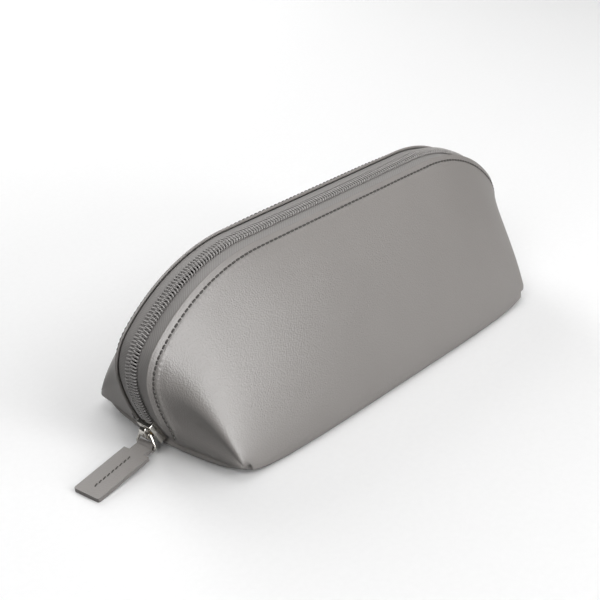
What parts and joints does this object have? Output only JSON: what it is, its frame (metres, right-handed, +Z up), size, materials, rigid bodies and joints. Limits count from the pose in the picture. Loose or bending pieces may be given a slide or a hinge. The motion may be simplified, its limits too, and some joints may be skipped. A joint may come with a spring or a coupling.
{
  "type": "zip pouch",
  "caption": "Boxed soft zip pouch in grey faux leather with an arched zip top, metal slider, wire ring and stitched leather pull tab.",
  "frame": {"origin": "on the surface it stands on, under the middle of the whole object's box (pouch and the pull tab that lies out from its slider end)", "axes": "+Z up, X along the pouch with the slider end at -X, -Y is the front face"},
  "size_m": [0.2712, 0.0944, 0.0796],
  "materials": {
    "leather": "smooth fine-grained faux leather, satin",
    "foam": "soft foam interlining",
    "lining": "plain woven polyester lining",
    "binding": "woven bias binding",
    "zip_tape": "woven polyester zip tape",
    "zip_coil": "extruded nylon coil, slight sheen",
    "thread": "twisted polyester sewing thread",
    "steel": "nickel-plated, polished",
    "brass": "bright brass leaf"
  },
  "bodies": {
    "pouch": {"front_shell": "leather", "back_shell": "leather", "front_foam": "foam", "back_foam": "foam", "front_lining": "lining", "back_lining": "lining", "base_seam_binding": "binding", "left_end_binding": "binding", "right_end_binding": "binding", "front_tape": "zip_tape", "front_coil": "zip_coil", "front_topstitch": "thread", "front_top_stop": "steel", "back_tape": "zip_tape", "back_coil": "zip_coil", "back_topstitch": "thread", "back_top_stop": "steel", "bottom_stop": "steel"},
    "slider": {"slider_body": "steel", "slider_bridge": "steel", "slider_lock_spring": "brass"},
    "ring": {"pull_ring": "steel"},
    "tab": {"pull_tab": "leather", "pull_tab_thread": "thread"}
  },
  "joints": [
    {"name": "slider_travel", "type": "hinge", "parent": "pouch", "child": "slider", "pos_m": [-0.02758, 0, 0.05083], "axis": [0, 1, 0], "range_deg": [0, 13.5], "deforming": ["front_coil", "back_coil"]},
    {"name": "ring_swing", "type": "hinge", "parent": "slider", "child": "ring", "pos_m": [-0.09967, 0, 0.01048], "axis": [-0.1028, 0.9947, 0], "range_deg": [0, 55]},
    {"name": "tab_swing", "type": "hinge", "parent": "ring", "child": "tab", "pos_m": [-0.09967, 0, 0.00438], "axis": [-0.1028, 0.9947, 0], "range_deg": [-95, 5]}
  ]
}
